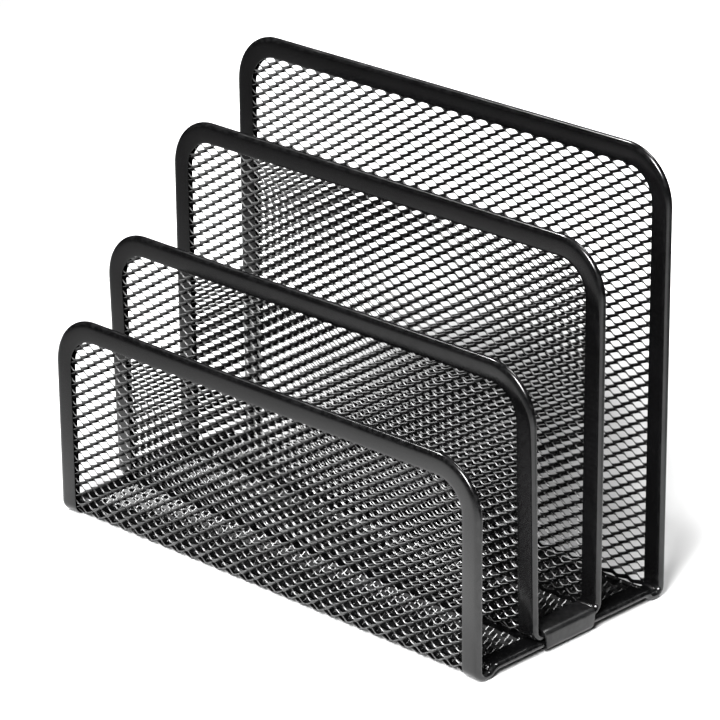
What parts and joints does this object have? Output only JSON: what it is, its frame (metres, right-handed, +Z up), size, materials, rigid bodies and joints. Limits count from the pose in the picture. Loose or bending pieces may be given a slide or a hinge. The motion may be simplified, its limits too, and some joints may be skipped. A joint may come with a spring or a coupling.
{
  "type": "desktop file sorter",
  "caption": "Black steel mesh desk sorter: upright rimmed panels rise from front to back, with open compartments between them that hold letters and files on edge.",
  "frame": {"origin": "on the desk, under the centre of the sorter's bounding box", "axes": "+X across the width, to the right as seen from the low front panel; +Y from the low front panel to the tall back panel; +Z up"},
  "size_m": [0.1796, 0.0826, 0.14],
  "materials": {
    "black_mesh": "satin black powder coat on expanded steel mesh",
    "black_rim": "semi-gloss black powder coat on folded steel",
    "black_clip": "satin black powder coat on pressed steel"
  },
  "bodies": {
    "root": {"outer_mesh": "black_mesh", "outer_rim": "black_rim", "divider_mesh": "black_mesh", "divider_rim": "black_rim", "clip_right": "black_clip", "clip_left": "black_clip"}
  },
  "joints": []
}
